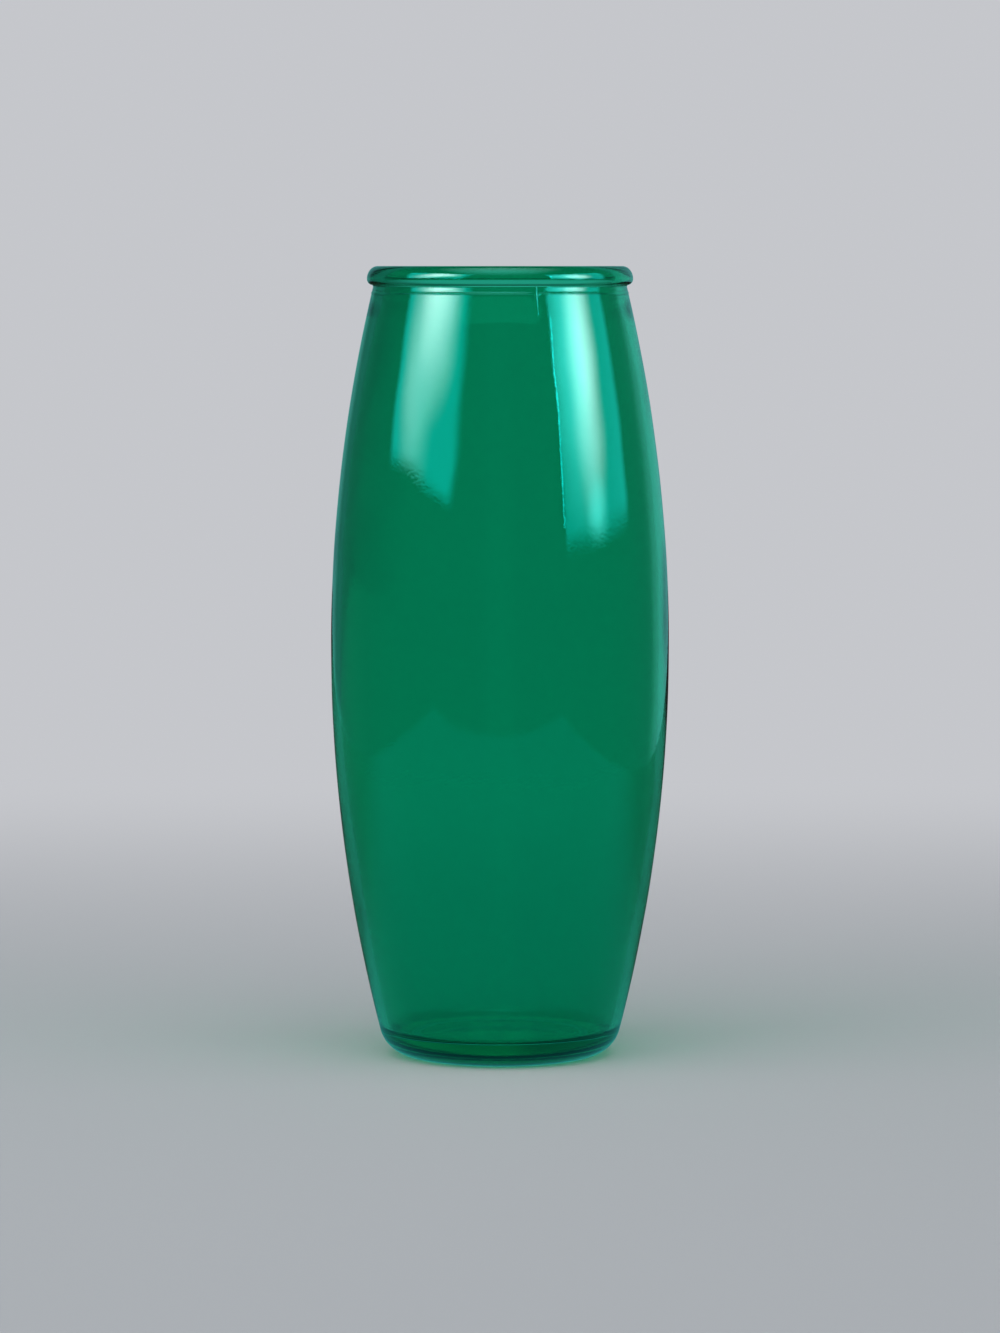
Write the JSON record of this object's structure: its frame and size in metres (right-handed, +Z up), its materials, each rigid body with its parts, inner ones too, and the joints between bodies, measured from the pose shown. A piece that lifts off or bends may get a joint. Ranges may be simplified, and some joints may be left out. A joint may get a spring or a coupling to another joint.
{
  "type": "glass vase",
  "caption": "Tall barrel-shaped vase of transparent green glass with a rolled bead lip, an open straight mouth and a thick base.",
  "frame": {"origin": "on the axis of the vase, in the plane that it stands on", "axes": "+Z up along the axis, out of the mouth; the vase is round, so +X and +Y are any two level directions"},
  "size_m": [0.1144, 0.1144, 0.267],
  "materials": {
    "green_glass": "transparent emerald green moulded glass, fire-polished and glossy"
  },
  "bodies": {
    "root": {"glass_vase": "green_glass"}
  },
  "joints": []
}
